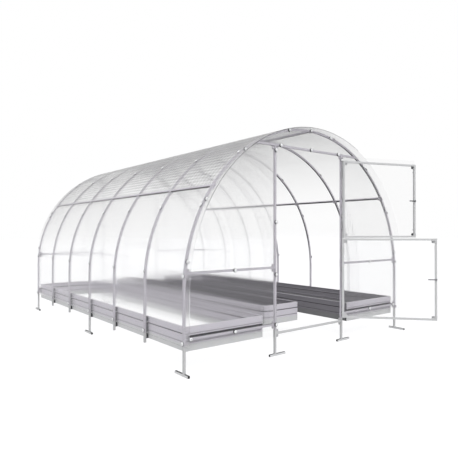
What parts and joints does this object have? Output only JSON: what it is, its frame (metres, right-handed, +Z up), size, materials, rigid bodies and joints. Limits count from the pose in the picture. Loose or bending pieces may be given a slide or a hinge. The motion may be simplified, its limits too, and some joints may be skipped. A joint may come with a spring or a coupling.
{
  "type": "polycarbonate greenhouse",
  "caption": "Arched walk-in greenhouse of square steel tube and clear twin-wall sheet, with a two-leaf door and three low raised beds of ribbed boards.",
  "frame": {"origin": "middle of the whole length and width, with the doors open, on the level of the undersides of the feet", "axes": "+X to the right seen from the door, +Y along the greenhouse to the rear gable, +Z up"},
  "size_m": [3.028, 4.8923, 2.1938],
  "materials": {
    "galvanised_tube": "dull galvanised steel tube",
    "bracket_plate": "pressed galvanised steel plate",
    "twin_wall_sheet": "clear ribbed twin-wall polycarbonate",
    "galvanised_board": "rolled galvanised steel sheet",
    "dark_fitting": "dark grey satin metal"
  },
  "bodies": {
    "greenhouse": {"arch_1": "galvanised_tube", "arch_2": "galvanised_tube", "arch_3": "galvanised_tube", "arch_4": "galvanised_tube", "arch_5": "galvanised_tube", "arch_6": "galvanised_tube", "arch_7": "galvanised_tube", "arch_feet": "galvanised_tube", "post_feet": "galvanised_tube", "left_purlins": "galvanised_tube", "right_purlins": "galvanised_tube", "ridge_purlins": "galvanised_tube", "front_left_post": "galvanised_tube", "front_right_post": "galvanised_tube", "front_head_rail": "galvanised_tube", "front_side_rails": "galvanised_tube", "front_threshold": "galvanised_tube", "front_clamps": "bracket_plate", "rear_posts": "galvanised_tube", "rear_rails": "galvanised_tube", "rear_clamps": "bracket_plate", "front_roof_sheet": "twin_wall_sheet", "rear_roof_sheet": "twin_wall_sheet", "front_left_sheet": "twin_wall_sheet", "front_right_sheet": "twin_wall_sheet", "front_top_sheet": "twin_wall_sheet", "rear_gable_sheets": "twin_wall_sheet", "post_hinges": "dark_fitting", "left_bed_boards": "galvanised_board", "middle_bed_boards": "galvanised_board", "right_bed_boards": "galvanised_board", "bed_corner_posts": "dark_fitting", "bed_spacer_posts": "dark_fitting"},
    "upper_leaf": {"upper_leaf_stiles": "galvanised_tube", "upper_leaf_rails": "galvanised_tube", "upper_leaf_clamps": "bracket_plate", "upper_leaf_sheet": "twin_wall_sheet", "upper_leaf_hinges": "dark_fitting"},
    "lower_leaf": {"lower_leaf_stiles": "galvanised_tube", "lower_leaf_rails": "galvanised_tube", "lower_leaf_clamps": "bracket_plate", "lower_leaf_sheet": "twin_wall_sheet", "lower_leaf_hinges": "dark_fitting"},
    "upper_latch_bar": {"upper_latch": "dark_fitting"},
    "lower_latch_bar": {"lower_latch": "dark_fitting"}
  },
  "joints": [
    {"name": "upper_leaf_hinge", "type": "hinge", "parent": "greenhouse", "child": "upper_leaf", "pos_m": [0.47675, -1.70658, 1.513], "axis": [0, 0, 1], "range_deg": [-161, 3]},
    {"name": "lower_leaf_hinge", "type": "hinge", "parent": "greenhouse", "child": "lower_leaf", "pos_m": [0.47675, -1.70658, 0.6755], "axis": [0, 0, 1], "range_deg": [-131, 44]},
    {"name": "upper_latch_turn", "type": "hinge", "parent": "upper_leaf", "child": "upper_latch_bar", "pos_m": [1.35428, -2.04607, 1.513], "axis": [-0.3256, -0.9455, 0], "range_deg": [0, 180]},
    {"name": "lower_latch_turn", "type": "hinge", "parent": "lower_leaf", "child": "lower_latch_bar", "pos_m": [1.06697, -2.43935, 0.6755], "axis": [-0.7547, -0.6561, 0], "range_deg": [0, 180]}
  ]
}
